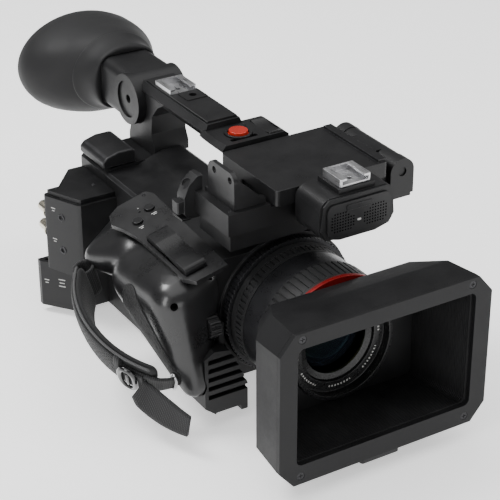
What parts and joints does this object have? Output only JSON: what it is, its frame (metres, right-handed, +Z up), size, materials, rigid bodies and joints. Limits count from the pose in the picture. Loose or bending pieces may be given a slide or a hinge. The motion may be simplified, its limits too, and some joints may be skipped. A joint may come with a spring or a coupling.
{
  "type": "camcorder",
  "caption": "Handheld broadcast camcorder with wide lens hood, top handle, folding screen, tilting eyepiece and strapped hand grip.",
  "frame": {"origin": "axis of the 1/4 inch tripod thread on the underside of the base plate", "axes": "lens looks along -Y, +Z is up, the hand grip is on the -X side and the folding screen opens towards +X"},
  "size_m": [0.2074, 0.394, 0.176],
  "materials": {
    "main_shell": "fine moulded grain",
    "base_plate": "black anodised",
    "rear_housing": "fine moulded grain",
    "jack_block": "fine moulded grain",
    "rear_hump": "fine moulded grain",
    "side_panel": "fine moulded grain",
    "grip_shell": "satin",
    "grip_deck": "satin",
    "grip_pad": "leather-grained",
    "audio_pod": "fine moulded grain",
    "bnc_jacks": "plated",
    "strap_pad": "mesh cloth",
    "strap_web": "woven webbing",
    "strap_hardware": "satin",
    "handle": "fine moulded grain",
    "handle_plate": "satin black paint",
    "handle_front": "fine moulded grain",
    "mic_unit": "fine moulded grain",
    "mic_grille": "perforated",
    "shoe_front": "brushed",
    "shoe_rear": "brushed",
    "mic_bracket": "satin black paint",
    "cable_clamp": "fine moulded grain",
    "hinge_base": "fine moulded grain",
    "lcd_arm": "fine moulded grain",
    "lcd_panel": "satin",
    "lcd_glass": "polished",
    "evf_tube": "fine moulded grain",
    "evf_optics": "coated",
    "eyecup": "soft matt",
    "diopter_lever": "satin",
    "lens_barrel": "semi-gloss black",
    "focus_ring": "ribbed",
    "red_ring": "red anodised",
    "zoom_ring": "ribbed",
    "iris_ring": "knurled",
    "filter_ring": "semi-gloss black",
    "lens_glass": "coated",
    "lens_plate": "satin black paint",
    "hood": "fine moulded grain",
    "hood_frame": "fine moulded grain",
    "hood_screws": "blackened",
    "hood_lever": "fine moulded grain",
    "sensor_block": "machined",
    "main_board": "solder mask",
    "cooling_fan": "moulded",
    "battery": "satin",
    "battery_latch": "fine moulded grain",
    "rec_button": "glossy red",
    "rec_lock": "satin",
    "handle_rocker": "satin",
    "grip_rocker": "satin",
    "deck_button_a": "satin",
    "deck_button_b": "satin",
    "thumb_dial": "satin",
    "nd_dial": "satin",
    "audio_dial_a": "satin",
    "audio_dial_b": "satin",
    "card_door": "fine moulded grain",
    "power_switch": "satin"
  },
  "bodies": {
    "body": {"main_shell": "main_shell", "base_plate": "base_plate", "rear_housing": "rear_housing", "jack_block": "jack_block", "rear_hump": "rear_hump", "side_panel": "side_panel", "grip_shell": "grip_shell", "grip_deck": "grip_deck", "grip_pad": "grip_pad", "audio_pod": "audio_pod", "bnc_jacks": "bnc_jacks", "strap_pad": "strap_pad", "strap_web": "strap_web", "strap_hardware": "strap_hardware", "handle": "handle", "handle_plate": "handle_plate", "handle_front": "handle_front", "mic_unit": "mic_unit", "mic_grille": "mic_grille", "shoe_front": "shoe_front", "shoe_rear": "shoe_rear", "mic_bracket": "mic_bracket", "cable_clamp": "cable_clamp", "hinge_base": "hinge_base", "lens_barrel": "lens_barrel", "red_ring": "red_ring", "filter_ring": "filter_ring", "lens_glass": "lens_glass", "lens_plate": "lens_plate", "hood": "hood", "hood_frame": "hood_frame", "hood_screws": "hood_screws", "sensor_block": "sensor_block", "main_board": "main_board"},
    "lcd_arm": {"lcd_arm": "lcd_arm"},
    "lcd_screen": {"lcd_panel": "lcd_panel", "lcd_glass": "lcd_glass"},
    "eyepiece": {"evf_tube": "evf_tube", "evf_optics": "evf_optics", "eyecup": "eyecup"},
    "diopter": {"diopter_lever": "diopter_lever"},
    "focus": {"focus_ring": "focus_ring"},
    "zoom": {"zoom_ring": "zoom_ring"},
    "iris": {"iris_ring": "iris_ring"},
    "grip_zoom": {"grip_rocker": "grip_rocker"},
    "button_a": {"deck_button_a": "deck_button_a"},
    "button_b": {"deck_button_b": "deck_button_b"},
    "rec": {"rec_button": "rec_button"},
    "rec_guard": {"rec_lock": "rec_lock"},
    "handle_zoom": {"handle_rocker": "handle_rocker"},
    "battery": {"battery": "battery"},
    "latch": {"battery_latch": "battery_latch"},
    "power": {"power_switch": "power_switch"},
    "door": {"card_door": "card_door"},
    "nd": {"nd_dial": "nd_dial"},
    "level_a": {"audio_dial_a": "audio_dial_a"},
    "level_b": {"audio_dial_b": "audio_dial_b"},
    "thumb": {"thumb_dial": "thumb_dial"},
    "lens_cover_lever": {"hood_lever": "hood_lever"},
    "fan": {"cooling_fan": "cooling_fan"}
  },
  "joints": [
    {"name": "lcd_open", "type": "hinge", "parent": "body", "child": "lcd_arm", "pos_m": [0.075, -0.033, 0.146], "axis": [0, 1, 0], "range_deg": [0, 180]},
    {"name": "lcd_swivel", "type": "hinge", "parent": "lcd_arm", "child": "lcd_screen", "pos_m": [0.07, -0.033, 0.15075], "axis": [1, 0, 0], "range_deg": [0, 72]},
    {"name": "evf_tilt", "type": "hinge", "parent": "body", "child": "eyepiece", "pos_m": [0.0015, 0.13, 0.145], "axis": [1, 0, 0], "range_deg": [0, 60]},
    {"name": "diopter_turn", "type": "hinge", "parent": "eyepiece", "child": "diopter", "pos_m": [0.0222, 0.154, 0.134], "axis": [1, 0, 0], "range_deg": [-25, 25]},
    {"name": "focus_turn", "type": "hinge", "parent": "body", "child": "focus", "pos_m": [0, -0.094, 0.066], "axis": [0, 1, 0], "continuous": true},
    {"name": "zoom_turn", "type": "hinge", "parent": "body", "child": "zoom", "pos_m": [0, -0.06, 0.066], "axis": [0, 1, 0], "range_deg": [0, 90]},
    {"name": "iris_turn", "type": "hinge", "parent": "body", "child": "iris", "pos_m": [0, -0.051, 0.066], "axis": [0, 1, 0], "continuous": true},
    {"name": "grip_zoom_rock", "type": "hinge", "parent": "body", "child": "grip_zoom", "pos_m": [-0.06458, -0.02308, 0.10819], "axis": [0.9724, 0, 0.2334], "range_deg": [-3.5, 3.5], "stiffness_Nm_per_rad": 0.08},
    {"name": "button_a_press", "type": "slide", "parent": "body", "child": "button_a", "axis": [0.2329, 0.0698, -0.97], "range_m": [0, 0.0008], "stiffness_N_per_m": 300},
    {"name": "button_b_press", "type": "slide", "parent": "body", "child": "button_b", "axis": [0.2329, 0.0698, -0.97], "range_m": [0, 0.0008], "stiffness_N_per_m": 300},
    {"name": "rec_press", "type": "slide", "parent": "body", "child": "rec", "axis": [0, 0, -1], "range_m": [0, 0.001], "stiffness_N_per_m": 300},
    {"name": "rec_guard_turn", "type": "hinge", "parent": "body", "child": "rec_guard", "pos_m": [0.004, 0.016, 0.158], "axis": [0, 0, 1], "range_deg": [0, 45]},
    {"name": "handle_zoom_rock", "type": "hinge", "parent": "body", "child": "handle_zoom", "pos_m": [0.0257, 0.0167, 0.1536], "axis": [1, 0, 0], "range_deg": [-8, 8], "stiffness_Nm_per_rad": 0.05},
    {"name": "battery_slide", "type": "slide", "parent": "body", "child": "battery", "axis": [0, 1, 0], "range_m": [0, 0.05]},
    {"name": "latch_slide", "type": "slide", "parent": "body", "child": "latch", "axis": [0, 0, -1], "range_m": [0, 0.004], "stiffness_N_per_m": 200},
    {"name": "power_turn", "type": "hinge", "parent": "body", "child": "power", "pos_m": [-0.036, 0.138, 0.078], "axis": [0, 1, 0], "range_deg": [-30, 30]},
    {"name": "door_open", "type": "hinge", "parent": "body", "child": "door", "pos_m": [0.04, 0.1406, 0.0184], "axis": [-1, 0, 0], "range_deg": [0, 100]},
    {"name": "nd_turn", "type": "hinge", "parent": "body", "child": "nd", "pos_m": [0.048, 0.068, 0.054], "axis": [1, 0, 0], "range_deg": [0, 135]},
    {"name": "level_a_turn", "type": "hinge", "parent": "body", "child": "level_a", "pos_m": [0.048, -0.01, 0.063], "axis": [1, 0, 0], "range_deg": [0, 270]},
    {"name": "level_b_turn", "type": "hinge", "parent": "body", "child": "level_b", "pos_m": [0.048, 0.02, 0.063], "axis": [1, 0, 0], "range_deg": [0, 270]},
    {"name": "thumb_turn", "type": "hinge", "parent": "body", "child": "thumb", "pos_m": [-0.058, -0.0545, 0.0685], "axis": [1, 0, 0], "continuous": true},
    {"name": "lens_cover_slide", "type": "slide", "parent": "body", "child": "lens_cover_lever", "axis": [1, 0, 0], "range_m": [0, 0.006]},
    {"name": "fan_spin", "type": "hinge", "parent": "body", "child": "fan", "pos_m": [-0.008, 0.09, 0.05], "axis": [0, 1, 0], "continuous": true}
  ],
  "couplings": [
    {"joint": "lcd_swivel", "follows": "lcd_open", "ratio": 0.4}
  ]
}
